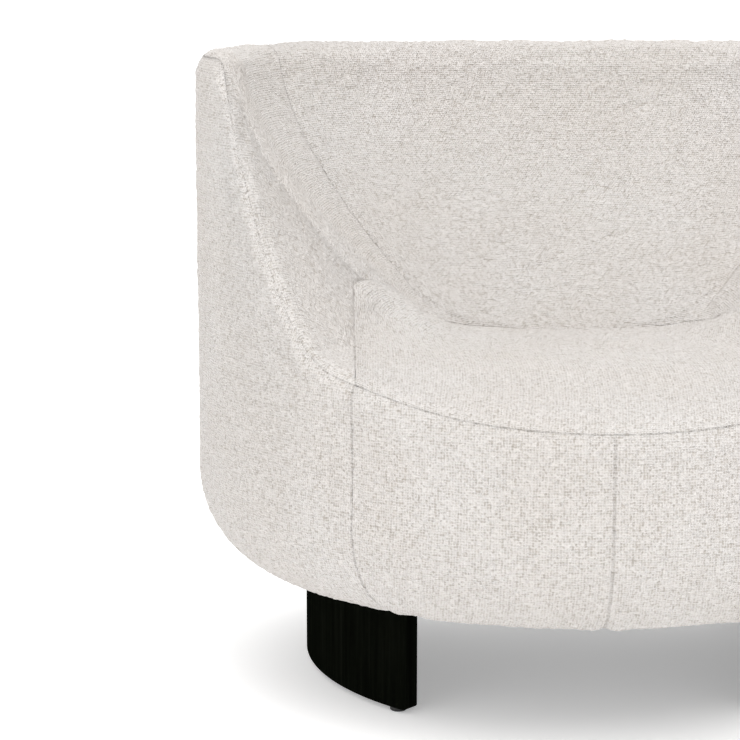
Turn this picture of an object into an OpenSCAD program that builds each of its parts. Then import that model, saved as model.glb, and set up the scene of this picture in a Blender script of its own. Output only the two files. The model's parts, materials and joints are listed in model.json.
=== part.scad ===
// Compact tub sofa: a barrel body on two curved wooden legs, upholstered over a plywood frame.
// Millimetres, +Z up, front towards -Y, origin on the floor under the middle of the body's box.

/* [Body] */
// Width across the arms
body_w = 916; // [860:4:980]
// Depth from the plan's centre to the front of the seat
front_depth = 429; // [415:1:445]
// Depth from the plan's centre to the outside of the back
rear_depth = 396; // [385:1:410]
// Height to the top of the back
body_h = 770; // [750:5:800]
// Height of the upholstered underside
under_h = 147; // [140:1:160]
// How square the rear corners are (1 is an ellipse)
rear_square = 0.8; // [0.75:0.01:0.9]
// Depth of the rounded bottom edge, inwards
edge_in = 112; // [100:1:116]
// Height of the rounded bottom edge
edge_up = 118; // [100:1:125]

/* [Seat] */
// Height of the seat's front edge
seat_front_h = 389; // [380:1:400]
// Rise from the front edge to the deepest part of the seat
seat_rise = 32; // [22:1:36]
// How far the seat falls towards its rear crease, in millimetres
seat_fall = 34; // [20:1:40]
// Depth of the seat from the front edge to the back cushion
seat_depth = 525; // [515:1:535]

/* [Arms and back] */
// Width of the wall along its top
rim_w = 52; // [48:1:56]
// Radius of the rounded top edge
rim_r = 25; // [20:1:26]
// Angle from the front at which the arms start to rise
sweep_from = 41; // [39:1:43]
// Angle from the front at which the arms reach full height
sweep_to = 67.6; // [66:0.2:70]
// Angle from the front of the seams beside the seat
seat_seam = 37; // [34:1:38]
// Angle from the front of the seams between the arms and the inside back
back_seam = 119; // [115:1:122]
// Angle from the front of the seams between the sides and the outside back
corner_seam = 128; // [122:1:132]

/* [Layers] */
// Thickness of the fabric covers
cover_t = 3; // [2:0.5:3]
// Thickness of the padding outside the boards
pad_t = 8; // [6:0.5:8]
// Thickness of the fibreboard round the outside
board_t = 3; // [2:0.5:3]
// Thickness of the plywood ribs
rib_t = 18; // [12:1:18]
// Thickness of the plywood base panel
base_t = 18; // [15:1:21]

/* [Legs] */
// Radius of the legs' outer faces
leg_r = 350; // [340:1:355]
// Thickness of a leg
leg_t = 28; // [24:1:30]
// How far the legs' arcs cross the middle of the body
leg_shift = 18; // [10:1:20]
// Distance of the legs' arc centre behind the plan's centre
leg_back = 63; // [55:1:65]
// Angle of a leg's front end, from the side
leg_front = 48.5; // [44:0.5:49]
// Angle of a leg's rear end, from the side
leg_rear = 33; // [28:1:34]
// Radius of a leg's rounded upright corners
leg_corner = 6; // [4:0.5:8]
// Height of the glides under the legs
glide_h = 6; // [4:1:8]
// Diameter of a glide
glide_d = 20; // [18:1:22]

/* [Hidden] */

$fn = 48;
gap = 0.3;               // clearance between neighbouring layers
centre_y = (front_depth - rear_depth) / 2;
half_w = body_w / 2;
fabric = "#ebe6da";
foam = "#e9d9a8";
felt = "#8d8d88";
ply = "#d2ab73";
steel = "#8f9498";
black = "#1c1a18";

// ---- the body's shape ----------------------------------------------------------------------
// Angles run from the front (-Y): positive towards +X, 180 at the back.
// An inset is the distance in from the outline of the plan.
function signed_pow(v, p) = sign(v) * pow(abs(v), p);
function clamp01(v) = min(1, max(0, v));
function mix(a, b, k) = a + (b - a) * k;
function fold(t) = abs(t > 180 ? t - 360 : t);

function plan(t, inset) =
  let (rear = cos(t) < 0, p = rear ? rear_square : 1,
       deep = (rear ? rear_depth : front_depth) - inset)
  [(half_w - inset) * signed_pow(sin(t), p), -deep * signed_pow(cos(t), p)];

// Thickness of the wall at height z, along the sides and back
bowl_k = 0.0321;
bowl_p = 1.54;
rim_z = body_h - rim_r;
function wall(z) = rim_w + bowl_k * pow(max(0, rim_z - z), bowl_p);

// Height of the seat at a point of the plan: crowned, falling to its rear crease, dished sideways
seat_dish = 0.00014;
fall_run = 110;
function seat_z(p) =
  seat_front_h + seat_rise * sin(90 * clamp01((p.y + front_depth) / seat_depth * 1.6))
  + seat_dish * p.x * p.x - seat_fall * (1 - cos(90 * clamp01(p.y / fall_run)));

// Angle at which the arm's sweep is at height z, and the wall's thickness there
sweep_z = 436;
sweep_p = 1.5;
function sweep_angle(z) =
  z < sweep_z ? sweep_from - (sweep_z - z) / 2
  : mix(sweep_from, sweep_to, pow((z - sweep_z) / (body_h - sweep_z), 1 / sweep_p));
sweep_end = 84;
wedge_p = 2.2;           // how fast the arm thickens behind its sweep
function wall_at(t, z) =
  let (a = sweep_angle(z))
  wall(z) * (1 - pow(1 - clamp01((fold(t) - a) / (sweep_end - a)), wedge_p));

// Height of the wall's inner face at an inset
function wall_z(t, inset, low = 300, high = body_h, steps = 13) =
  fold(t) >= sweep_end ? (inset <= rim_w ? body_h : rim_z - pow((inset - rim_w) / bowl_k, 1 / bowl_p))
  : steps == 0 ? low
  : let (z = (low + high) / 2)
    wall_at(t, z) > inset ? wall_z(t, inset, z, high, steps - 1)
    : wall_z(t, inset, low, z, steps - 1);

// Height of the finished top surface: the higher of seat and wall, with a rounded outer edge
function edge_drop(inset) =
  inset >= rim_r ? 0 : rim_r - sqrt(rim_r * rim_r - pow(rim_r - inset, 2));
function inner_drop(t, inset) =
  let (band = wall_at(t, body_h), r = min(rim_r, band / 2), x = (inset - band + r) / r)
  r < 1 || x <= 0 || inset > band ? 0 : rim_r * (1 - sqrt(1 - x * x));

// How softly the seat runs into the arms: most in the bowl, least at the crest and the back
blend_least = 10;
blend_more = 42;
blend_in = [20, 110];     // it grows between these insets
blend_out = [240, 380];   // and fades between these
blend_front = [42, 67];   // the same for the angles from the front
blend_rear = [76, 106];
function ease(k) = k * k * (3 - 2 * k);
function rise_over(v, range) = clamp01((v - range[0]) / (range[1] - range[0]));
function blend(t, inset) =
  blend_least + blend_more * ease(rise_over(inset, blend_in)) * (1 - rise_over(inset, blend_out))
  * rise_over(fold(t), blend_front) * (1 - rise_over(fold(t), blend_rear));
function soft_max(a, b, k) = (a + b + sqrt((a - b) * (a - b) + k * k)) / 2;
function top_z(t, inset) =
  soft_max(seat_z(plan(t, inset)), wall_z(t, inset) - inner_drop(t, inset), blend(t, inset))
  - edge_drop(inset);

// Height of the crest, where the outer wall ends
function crest(t) = top_z(t, 0);

// Where the seat meets the arms and the back: straight back, then inwards, then the crease
seam_x = 271;
seam_turn = 65;
seam_corner = 100;
side_join = 278;
back_join = 308;
function join(t) =
  let (a = fold(t), straight = half_w - seam_x / sin(min(max(a, seat_seam), seam_turn)))
  a < seat_seam ? 0
  : a < seam_turn ? max(0, straight)
  : a < seam_corner
    ? mix(straight, side_join, sin(90 * (a - seam_turn) / (seam_corner - seam_turn)))
  : mix(side_join, back_join, (1 - cos((a - seam_corner) * 180 / (180 - seam_corner))) / 2);

// A point at a depth under the top surface, and one at a depth behind the outer wall
function under_top(t, inset, depth) =
  let (g = (top_z(t, inset + 1) - top_z(t, max(0, inset - 1))) / (inset < 1 ? 1 + inset : 2),
       n = sqrt(1 + g * g), nearest = min(inset, depth > 2 * cover_t ? frame_in + 1 : 0.2),
       p = plan(t, max(nearest, inset + depth * g / n)))
  [p.x, p.y, top_z(t, inset) - depth / n];
lap = 4;                 // width of the cover folded under the body
lap_end = 0.1;           // share of the outer path taken by the fold, and by fold and bend
bend_end = 0.8;
function behind_wall(t, s, depth, top) =
  let (k = 90 * (bend_end - s) / (bend_end - lap_end),
       low = under_h + edge_up,
       inset = s < lap_end ? edge_in + lap * (1 - s / lap_end)
         : s < bend_end ? edge_in - (edge_in - depth) * cos(k) : depth,
       z = s < lap_end ? under_h + depth
         : s < bend_end ? low - (edge_up - depth) * sin(k)
         : mix(low, top, (s - bend_end) / (1 - bend_end)),
       p = plan(t, inset))
  [p.x, p.y, z];

// ---- shared builders -----------------------------------------------------------------------
module placed() translate([0, centre_y, 0]) children();

// A closed solid between two curved faces: f(u, v, w), each from 0 to 1, with w through it
module patch(nu, nv, f) {
  row = nv + 1;
  side = (nu + 1) * row;
  pts = [for (w = [0, 1], i = [0:nu], j = [0:nv]) f(i / nu, j / nv, w)];
  function id(w, i, j) = w * side + i * row + j;
  function quad(a, b, c, d) = [[a, c, b], [a, d, c]];
  faces = [
    for (i = [0:nu - 1], j = [0:nv - 1])
      each quad(id(0, i, j), id(0, i, j + 1), id(0, i + 1, j + 1), id(0, i + 1, j)),
    for (i = [0:nu - 1], j = [0:nv - 1])
      each quad(id(1, i, j), id(1, i + 1, j), id(1, i + 1, j + 1), id(1, i, j + 1)),
    for (j = [0:nv - 1]) each quad(id(0, 0, j), id(1, 0, j), id(1, 0, j + 1), id(0, 0, j + 1)),
    for (j = [0:nv - 1])
      each quad(id(0, nu, j), id(0, nu, j + 1), id(1, nu, j + 1), id(1, nu, j)),
    for (i = [0:nu - 1]) each quad(id(0, i, 0), id(0, i + 1, 0), id(1, i + 1, 0), id(1, i, 0)),
    for (i = [0:nu - 1])
      each quad(id(0, i, nv), id(1, i, nv), id(1, i + 1, nv), id(0, i + 1, nv))
  ];
  polyhedron(pts, faces, convexity = 8);
}

// The same for a closed ring of angles that meets at a middle point
module disc(nt, nv, f) {
  side = nt * nv + 1;
  pts = [for (w = [0, 1]) each [for (i = [0:nt - 1], j = [0:nv - 1]) f(360 * i / nt, j / nv, w),
                                f(0, 1, w)]];
  function id(w, i, j) = w * side + (j == nv ? nt * nv : (i % nt) * nv + j);
  function quad(a, b, c, d) = [[a, b, c], if (c != d) [a, c, d]];
  faces = [
    for (i = [0:nt - 1], j = [0:nv - 1])
      each quad(id(0, i, j), id(0, i + 1, j), id(0, i + 1, j + 1), id(0, i, j + 1)),
    for (i = [0:nt - 1], j = [0:nv - 1])
      each quad(id(1, i + 1, j), id(1, i, j), id(1, i, j + 1), id(1, i + 1, j + 1)),
    for (i = [0:nt - 1]) each [[id(0, i, 0), id(1, i, 0), id(1, i + 1, 0)],
                              [id(0, i, 0), id(1, i + 1, 0), id(0, i + 1, 0)]]
  ];
  polyhedron(pts, faces, convexity = 8);
}

// A flat ring sector of the plan between two insets
module sector(t1, t2, inset1, inset2, h, steps) {
  linear_extrude(h)
    polygon([for (i = [0:steps]) plan(mix(t1, t2, i / steps), inset1),
             for (i = [steps:-1:0]) plan(mix(t1, t2, i / steps), inset2)]);
}

function inset_on_top(v, last) =
  v < 0.36 ? rim_w * (1 - cos(v / 0.36 * 180)) / 2 : mix(rim_w, last, pow((v - 0.36) / 0.64, 1.6));

// ---- base and legs -------------------------------------------------------------------------
base_z = under_h + cover_t + gap;
base_top = base_z + base_t;
rebate = 3;              // height of the stepped lower edge that the covers are stapled to
panel_in = 88;           // inset of the base panel's edge, and of its stepped edge
rebate_in = 112;
bolt_r = 4;
insert_r = 6;
insert_l = 22;
bolt_angles = [-14, 12, 41];
glide_angles = [-leg_rear + 3.5, leg_front - 3.5];
leg_mid = leg_r - leg_t / 2;

// Places on a leg's centre line, for the left (-1) or right (1) leg; front angles are positive
module on_leg(side, a)
  placed() translate([side * (leg_mid * cos(a) - leg_shift), leg_back - leg_mid * sin(a), 0])
    children();

module plan_plate(inset, z, h) placed() translate([0, 0, z])
  linear_extrude(h) polygon([for (i = [0:71]) plan(i * 5, inset)]);
module bolt_holes(z, h)
  for (side = [-1, 1], a = bolt_angles) on_leg(side, a) translate([0, 0, z])
    cylinder(r = bolt_r + 0.5, h = h);

module base_panel() color(ply) difference() {
  union() {
    plan_plate(rebate_in, base_z, rebate + 1);
    plan_plate(panel_in, base_z + rebate, base_t - rebate);
  }
  bolt_holes(base_z - 1, base_t + 2);
}

module leg_outline() {
  inner = leg_r - leg_t;
  turn = asin(leg_corner / leg_mid);
  from = 180 - leg_rear + turn;
  to = 180 + leg_front - turn;
  ends = [for (i = [0:24]) mix(from, to, i / 24)];
  intersection() {
    difference() {
      circle(r = leg_r, $fn = 180);
      circle(r = inner, $fn = 180);
    }
    polygon([[0, 0], for (a = ends) 2 * leg_r * [cos(a), sin(a)]]);
  }
  for (a = [from, to], r = [inner + leg_corner, leg_r - leg_corner])
    rotate(a) translate([r, 0]) circle(r = leg_corner);
  for (a = [from, to])
    rotate(a) translate([inner + leg_corner, -leg_corner])
      square([leg_t - 2 * leg_corner, 2 * leg_corner]);
}

module leg(side) color(black) difference() {
  placed() translate([-side * leg_shift, leg_back, glide_h])
    mirror([side > 0 ? 1 : 0, 0, 0]) linear_extrude(under_h - glide_h) leg_outline();
  for (a = bolt_angles)
    on_leg(side, a) translate([0, 0, under_h - insert_l - 6]) cylinder(r = insert_r, h = 60);
  for (a = glide_angles) on_leg(side, a) cylinder(r = 2, h = glide_h + 16);
}
module left_leg() leg(-1);
module right_leg() leg(1);

module leg_inserts() color(steel)
  for (side = [-1, 1], a = bolt_angles) on_leg(side, a)
    translate([0, 0, under_h - insert_l]) difference() {
      cylinder(r = insert_r, h = insert_l);
      translate([0, 0, -1]) cylinder(r = bolt_r, h = insert_l + 2);
    }

module leg_bolts() color(steel)
  for (side = [-1, 1], a = bolt_angles) on_leg(side, a) {
    translate([0, 0, under_h - 18]) cylinder(r = bolt_r, h = base_top - under_h + 22);
    translate([0, 0, base_top]) cylinder(r = 9, h = 1.6);
    translate([0, 0, base_top + 1.6]) cylinder(r = 7.5, h = 5.3, $fn = 6);
  }

module leg_glides() color("#141414")
  for (side = [-1, 1], a = glide_angles) on_leg(side, a) {
    cylinder(r1 = glide_d / 2 - 1, r2 = glide_d / 2, h = 1);
    translate([0, 0, 1]) cylinder(d = glide_d, h = glide_h - 1);
    translate([0, 0, glide_h]) cylinder(r = 2, h = 14);
  }

// ---- seat frame ----------------------------------------------------------------------------
seat_half = 205;         // half the width of the seat frame
seat_y1 = -345;          // front and rear of the seat frame, from the plan's centre
seat_y2 = 85;
rail_t = 25;
rail_z = 290;
rail_h = 50;
post = 40;
post_y = -240;           // the front posts stand back from the rounded front edge

module seat_posts() color(ply) placed()
  for (x = [-1, 1], y = [post_y, (post_y + seat_y2 - post) / 2, seat_y2 - post])
    translate([x > 0 ? seat_half - post : -seat_half, y, base_top])
      cube([post, post, rail_z - base_top]);

module cross_rail(y) color(ply) placed()
  translate([-seat_half, y, rail_z]) cube([2 * seat_half, rail_t, rail_h]);
module front_seat_rail() cross_rail(seat_y1);
module rear_seat_rail() cross_rail(seat_y2 - rail_t);

module side_rail(side) color(ply) placed()
  translate([side > 0 ? seat_half - rail_t : -seat_half, seat_y1 + rail_t, rail_z])
    cube([rail_t, seat_y2 - seat_y1 - 2 * rail_t, rail_h]);
module left_seat_rail() side_rail(-1);
module right_seat_rail() side_rail(1);

block = 50;
module corner_blocks() color(ply) placed()
  for (x = [-1, 1], y = [-1, 1])
    translate([x * (seat_half - rail_t), y < 0 ? seat_y1 + rail_t : seat_y2 - rail_t, rail_z])
      scale([-x, -y, 1]) linear_extrude(rail_h - 5) polygon([[0, 0], [block, 0], [0, block]]);

// Sinuous springs: half turns joined by straight wires, running front to back
wire_r = 1.9;
spring_z = rail_z + rail_h + wire_r + 0.6;
spring_half = 26;        // half the width of one spring
turns = 11;
spring_y0 = seat_y1 + rail_t / 2;
spring_step = (seat_y2 - seat_y1 - rail_t) / turns;
spring_reach = spring_half - spring_step / 2;
spring_tail = 8;
tuck = 0.4;              // the straight wires are a hair thinner and end inside the turns
module sinuous_spring() {
  for (i = [0:turns - 1]) {
    side = i % 2 == 0 ? 1 : -1;
    translate([side * spring_reach, spring_y0 + spring_step * (i + 0.5), spring_z])
      rotate(-90 * side) rotate_extrude(angle = 180, $fn = 16)
        translate([spring_step / 2, 0]) circle(r = wire_r, $fn = 14);
  }
  for (i = [0:turns]) {
    x1 = i == 0 ? -spring_tail : -spring_reach - tuck;
    x2 = i == turns ? spring_tail : spring_reach + tuck;
    translate([x1, spring_y0 + spring_step * i, spring_z])
      rotate([0, 90, 0]) cylinder(r = wire_r - 0.05, h = x2 - x1, $fn = 14);
  }
}
spring_xs = [-126, -42, 42, 126];
module seat_springs() color(steel) placed()
  for (x = spring_xs) translate([x, 0, 0]) sinuous_spring();

module spring_clips() color(steel) placed()
  for (x = spring_xs, y = [spring_y0, spring_y0 + spring_step * turns])
    translate([x - 9, y, spring_z]) difference() {
      translate([0, -6, -wire_r - 0.6]) cube([18, 12, 2 * wire_r + 1.8]);
      translate([-1, 0, 0]) rotate([0, 90, 0]) cylinder(r = wire_r + 0.05, h = 20);
    }

platform_z = spring_z + wire_r + 2;
module seat_platform() color(felt) placed()
  translate([-seat_half - 5, seat_y1, platform_z])
    cube([2 * seat_half + 10, seat_y2 - seat_y1, 3]);

// ---- wall frame ----------------------------------------------------------------------------
board_in = cover_t + pad_t + 2 * gap;
frame_in = board_in + board_t + gap;
low_z = under_h + edge_up;
rail_drop = 45;          // the ribs stop this far below the finished rim
top_rail_t = 12;

// A rib stands on the base panel, follows the rounded bottom, and carries the inner padding
function rib_top(t, inset) =
  let (reach = 25 + 0.08 * inset)
  min(top_z(t, inset + reach) - reach - 2, top_z(t, rim_r) - rail_drop);
rib_in = frame_in + 3;
rib_steps = [rib_in, 24, 33, 45, 60, 80, 105, 130];
module rib(t, deep) placed() {
  outer = plan(t, 0);
  edge = plan(t + 0.5, 0) - plan(t - 0.5, 0);
  along = [-edge.y, edge.x] / norm(edge);
  multmatrix([[along.x, 0, -along.y, outer.x], [along.y, 0, along.x, outer.y],
              [0, 1, 0, 0], [0, 0, 0, 1]])
    translate([0, 0, -rib_t / 2]) linear_extrude(rib_t)
      polygon([for (i = rib_steps) if (i < deep) [i, rib_top(t, i)],
               [deep, rib_top(t, deep)], [deep, base_top], [edge_in - 16, base_top],
               [edge_in - 52, base_top + 26], [edge_in - 82, base_top + 62],
               [rib_in, low_z + 6]]);
}
module arm_ribs(side) color(ply) for (r = [[62, 100], [84, 150], [108, 165]]) rib(side * r[0], r[1]);
module left_arm_ribs() arm_ribs(-1);
module right_arm_ribs() arm_ribs(1);
module back_ribs() color(ply) for (t = [136, 164, 196, 224]) rib(t, 165);

module top_rail(t1, t2, steps) color(ply) placed()
  translate([0, 0, body_h - rail_drop + gap])
    sector(t1, t2, frame_in, frame_in + 16, top_rail_t, steps);
module back_top_rail() top_rail(back_seam, 360 - back_seam, 30);
module right_top_rail() top_rail(sweep_end, back_seam - 0.3, 12);
module left_top_rail() top_rail(-sweep_end, -back_seam + 0.3, 12);

module front_board() color(ply) placed() translate([0, 0, low_z])
  sector(-55, 55, frame_in, frame_in + 12, seat_front_h - 38 - low_z, 30);

side_steps = 18;         // facets round a side and round the back
side_step = (corner_seam - seat_seam) / side_steps;
function board_top(t, deep) = min(crest(t) - 20, top_z(t, deep + 8) - 8);
function board_point(t1, t2) = function (u, v, w)
  let (t = mix(t1, t2, u), deep = mix(board_in, board_in + board_t, 1 - w), p = plan(t, deep))
  [p.x, p.y, mix(low_z, board_top(t, deep), v)];
module right_side_board() color(felt) placed()
  patch(side_steps - 5, 1, board_point(seat_seam + 5 * side_step, corner_seam - 0.1));
module left_side_board() mirror([1, 0, 0]) right_side_board();
module outer_back_board() color(felt) placed()
  patch(side_steps, 1, board_point(corner_seam + 0.1, 360 - corner_seam - 0.1));

// ---- inner padding -------------------------------------------------------------------------
function foam_t(v) = 20 + 18 * v;
function rim_band(t) = max(17, wall_at(t, rim_z));

function inner_foam(t1, t2) = function (u, v, w)
  let (t = mix(t1, t2, u), first = rim_band(t) + 3, last = join(t) - 1.5,
       inset = mix(first, last, pow(v, 1.5)))
  under_top(t, inset, mix(foam_in, foam_t(v), 1 - w));
foam_in = cover_t + 2;
module inside_back_foam() color(foam) placed()
  patch(20, 8, inner_foam(back_seam + 0.3, 360 - back_seam - 0.3));
module right_arm_foam() color(foam) placed()
  patch(16, 8, inner_foam(56, back_seam - 0.3));
module left_arm_foam() mirror([1, 0, 0]) right_arm_foam();

strap_vs = [0.3, 0.48, 0.64, 0.8];
module back_webbing() color("#3b3a36") placed()
  for (s = strap_vs)
    patch(14, 1, function (u, v, w)
      let (t = mix(back_seam + 4, 356 - back_seam, u), k = s + 0.11 * v,
           inset = mix(rim_band(t) + 3, join(t) - 1.5, pow(k, 1.5)))
      under_top(t, inset, foam_t(k) + 1 + 1.5 * (1 - w)));

// Rolled foam along the top edge, on the top rails
function roll_point(t1, t2) = function (u, v, w)
  let (t = mix(t1, t2, u), band = rim_band(t), a = 180 * v,
       top = top_z(t, band / 2) - cover_t - gap - 2,
       half = band / 2 - cover_t - 1, h = 22 * band / rim_w,
       p = plan(t, band / 2 - (half * cos(a)) * (w == 1 ? 1 : 0.98)))
  [p.x, p.y, w == 1 ? top - h + h * sin(a) : top - h - 0.5];
module back_edge_roll() color(foam) placed()
  patch(24, 6, roll_point(back_seam + 0.3, 360 - back_seam - 0.3));
module right_edge_roll() color(foam) placed()
  patch(14, 6, roll_point(sweep_end, back_seam - 0.3));
module left_edge_roll() mirror([1, 0, 0]) right_edge_roll();

// Seat foam: a crowned block inside the line where the seat meets arms and back
seat_mid = [0, -110];
function plan_power(p) = p.y > 0 ? 2 / rear_square : 2;
function inset_at(p, low = 0, high = rear_depth - 1, steps = 14) =
  let (i = (low + high) / 2, deep = (p.y > 0 ? rear_depth : front_depth) - i)
  steps == 0 ? i
  : pow(abs(p.x) / (half_w - i), plan_power(p)) + pow(abs(p.y) / deep, plan_power(p)) < 1
    ? inset_at(p, i, high, steps - 1)
  : inset_at(p, low, i, steps - 1);
function angle_at(p, i) =
  let (deep = (p.y > 0 ? rear_depth : front_depth) - i, k = plan_power(p) / 2)
  atan2(signed_pow(p.x / (half_w - i), k), -signed_pow(p.y / deep, k));
function seat_point(t, v, depth, extra) =
  let (p = mix(plan(t, join(t) + extra), seat_mid, v * v), i = inset_at(p))
  [p.x, p.y, top_z(angle_at(p, i), i) - depth];
seat_foam_z = platform_z + 3 + gap;
module seat_foam() color(foam) placed()
  disc(48, 6, function (t, v, w)
    let (p = seat_point(t, v, foam_in + 0.5, 3 + (fold(t) < 60 ? pad_t + cover_t + 14 : 0)))
    w == 1 ? p : [p.x, p.y, seat_foam_z]);

// ---- outer padding -------------------------------------------------------------------------
pad_start = 0.3;
function pad_point(t1, t2) = function (u, v, w)
  let (t = mix(t1, t2, u), deep = mix(cover_t + gap + pad_t, cover_t + gap, w))
  behind_wall(t, mix(pad_start, 1, v), deep, min(crest(t), top_z(t, deep + 5)) - 6);
module front_padding() color(foam) placed()
  patch(16, 7, pad_point(-seat_seam + 0.1, seat_seam - 0.1));
module right_side_padding() color(foam) placed()
  patch(side_steps, 7, pad_point(seat_seam + 0.05, corner_seam - 0.05));
module left_side_padding() mirror([1, 0, 0]) right_side_padding();
module outer_back_padding() color(foam) placed()
  patch(side_steps, 7, pad_point(corner_seam + 0.05, 360 - corner_seam - 0.05));

// ---- fabric covers -------------------------------------------------------------------------
module seat_cover() color(fabric) placed()
  disc(48, 6, function (t, v, w) seat_point(t, v, cover_t * (1 - w), 0.5));

function top_cover(t1, t2) = function (u, v, w)
  let (t = mix(t1, t2, u))
  under_top(t, inset_on_top(v, max(rim_w + 1, join(t) - 0.5)), cover_t * (1 - w));
function arm_cover_point(t1, t2) = function (u, v, w)
  let (t = mix(t1, t2, pow(u, 1.2)), last = join(t) - 0.5,
       inset = last < 2 * rim_w ? last * v : inset_on_top(v, last))
  under_top(t, inset, cover_t * (1 - w));
module inside_back_cover() color(fabric) placed()
  patch(20, 11, top_cover(back_seam + 0.1, 360 - back_seam - 0.1));
module right_arm_cover() color(fabric) placed()
  patch(20, 11, arm_cover_point(seat_seam + 1.5, back_seam - 0.1));
module left_arm_cover() mirror([1, 0, 0]) right_arm_cover();

function outer_cover(t1, t2) = function (u, v, w)
  let (t = mix(t1, t2, u))
  behind_wall(t, v, cover_t * (1 - w), crest(t) - 2);
module front_right_cover() color(fabric) placed()
  patch(8, 10, outer_cover(0.05, seat_seam - 0.05));
module front_left_cover() mirror([1, 0, 0]) front_right_cover();
module right_side_cover() color(fabric) placed()
  patch(side_steps, 10, outer_cover(seat_seam + 0.05, corner_seam - 0.05));
module left_side_cover() mirror([1, 0, 0]) right_side_cover();
module outer_back_cover() color(fabric) placed()
  patch(side_steps, 10, outer_cover(corner_seam + 0.05, 360 - corner_seam - 0.05));

module dust_cover() color("#2a2927") difference() {
  plan_plate(edge_in + lap + 1, under_h + 1, cover_t - 1);
  bolt_holes(under_h, cover_t + 1);
}

base_panel();
seat_posts();
front_seat_rail();
rear_seat_rail();
left_seat_rail();
right_seat_rail();
corner_blocks();
seat_springs();
spring_clips();
seat_platform();
back_ribs();
left_arm_ribs();
right_arm_ribs();
back_top_rail();
left_top_rail();
right_top_rail();
front_board();
left_side_board();
right_side_board();
outer_back_board();
back_webbing();
seat_foam();
inside_back_foam();
left_arm_foam();
right_arm_foam();
back_edge_roll();
left_edge_roll();
right_edge_roll();
front_padding();
left_side_padding();
right_side_padding();
outer_back_padding();
seat_cover();
inside_back_cover();
left_arm_cover();
right_arm_cover();
front_left_cover();
front_right_cover();
left_side_cover();
right_side_cover();
outer_back_cover();
dust_cover();
left_leg();
right_leg();
leg_inserts();
leg_bolts();
leg_glides();
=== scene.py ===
import json
import math

import bpy
import numpy as np
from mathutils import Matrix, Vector


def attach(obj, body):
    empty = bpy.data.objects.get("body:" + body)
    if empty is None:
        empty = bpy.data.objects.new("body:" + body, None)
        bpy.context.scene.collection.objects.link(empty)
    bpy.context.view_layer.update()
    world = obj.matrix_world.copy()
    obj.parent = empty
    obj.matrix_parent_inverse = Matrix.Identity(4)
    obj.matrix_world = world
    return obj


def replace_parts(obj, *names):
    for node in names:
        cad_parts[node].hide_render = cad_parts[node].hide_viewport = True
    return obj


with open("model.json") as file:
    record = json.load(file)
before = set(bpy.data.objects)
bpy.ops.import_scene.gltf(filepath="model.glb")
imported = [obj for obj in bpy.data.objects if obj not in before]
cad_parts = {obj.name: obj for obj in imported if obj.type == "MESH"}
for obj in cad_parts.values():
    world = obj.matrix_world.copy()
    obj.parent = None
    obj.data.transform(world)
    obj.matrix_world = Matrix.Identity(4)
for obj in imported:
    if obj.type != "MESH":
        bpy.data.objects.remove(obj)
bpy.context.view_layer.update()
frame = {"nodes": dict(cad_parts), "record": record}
nodes = frame["nodes"]

# ---- the body's shape, as in the CAD source ----------------------------------------------------
# Millimetres and degrees about the plan's centre. Angles run from the front (-Y), positive towards
# +X, with 180 at the back. An inset is the distance in from the outline of the plan.
CENTRE_Y = 16.5          # the CAD frame's origin is this far in front of the plan's centre
HALF_W, FRONT, REAR, HEIGHT = 458.0, 429.0, 396.0, 770.0
REAR_SQUARE = 0.8        # how square the rear corners are; 1 is an ellipse
UNDER, EDGE_IN, EDGE_UP = 147.0, 112.0, 118.0            # the underside and its rounded edge
RIM_W, RIM_R, RIM_Z = 52.0, 25.0, 745.0                  # the wall's top and its rounded edge
BOWL_K, BOWL_P = 0.0321, 1.54                            # how the wall thickens downwards
SWEEP_FROM, SWEEP_TO, SWEEP_Z, SWEEP_P, SWEEP_END = 41.0, 67.6, 436.0, 1.5, 84.0
WEDGE_P = 2.2            # how fast the arm thickens behind its sweep
SEAT_H, SEAT_DEPTH, SEAT_DISH = 389.0, 525.0, 0.00014
RISE, RISE_RATE = 32.0, 1.6                              # the seat's crown behind its front edge
FALL, FALL_RUN = 34.0, 110.0                             # and its fall to the rear crease
BLEND_LEAST, BLEND_MORE = 10.0, 42.0                     # how softly the seat runs into the arms
BLEND_IN, BLEND_OUT = (20.0, 110.0), (240.0, 380.0)      # insets where that grows and fades
BLEND_FRONT, BLEND_REAR = (42.0, 67.0), (76.0, 106.0)    # angles where it grows and fades

# Seams: the angles of the upright ones, then where the seat meets the arms and the back
SEAT_SEAM, BACK_SEAM, CORNER_SEAM = 37.0, 119.0, 128.0
TURN, CORNER = 65.0, 100.0   # the seat's side seams run straight back, then turn inwards
SIDE_JOIN, BACK_JOIN = 278.0, 308.0
CREST_ANGLE = 44.0       # where the seam sits on the rounded top edge
CREST_IN = RIM_R * (1 - math.cos(math.radians(CREST_ANGLE)))
TIP_IN = CREST_IN + 0.8  # the arm's front tip ends here, so that it has a width
TIP_RUN = 2.0            # degrees over which the seat's front corners step in to the arms' tips

# Meshes
CELL = 3.0               # spacing of the finished mesh, mm
STRIDE = 4               # the simulated mesh takes every fourth point
OUTER_RUN, INNER_RUN = 640.0, 500.0                      # lengths of the lines up and down a wall
SEAT_ACROSS, SEAT_ALONG = 560.0, 470.0
WALL_EVENING, SEAT_EVENING = 60, 12                      # times that relax() evens out the grids
MEASURED_IN = 30.0       # cells round the body are equal at this inset
LAP = (10.0, 5.0)        # points of the fold under the body, this far in past the rounded edge
DRAWN_IN = 1.5           # the outer wall is drawn in to leave room for the pads' swell


def four(n):
    """The nearest multiple of the stride, at least two of them."""
    return max(2, round(n / STRIDE)) * STRIDE


def spow(v, p):
    return np.sign(v) * np.abs(v) ** p


def fold(t):
    """Angles from the front, as if both sides were one."""
    return np.abs((np.asarray(t, float) + 180) % 360 - 180)


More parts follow.
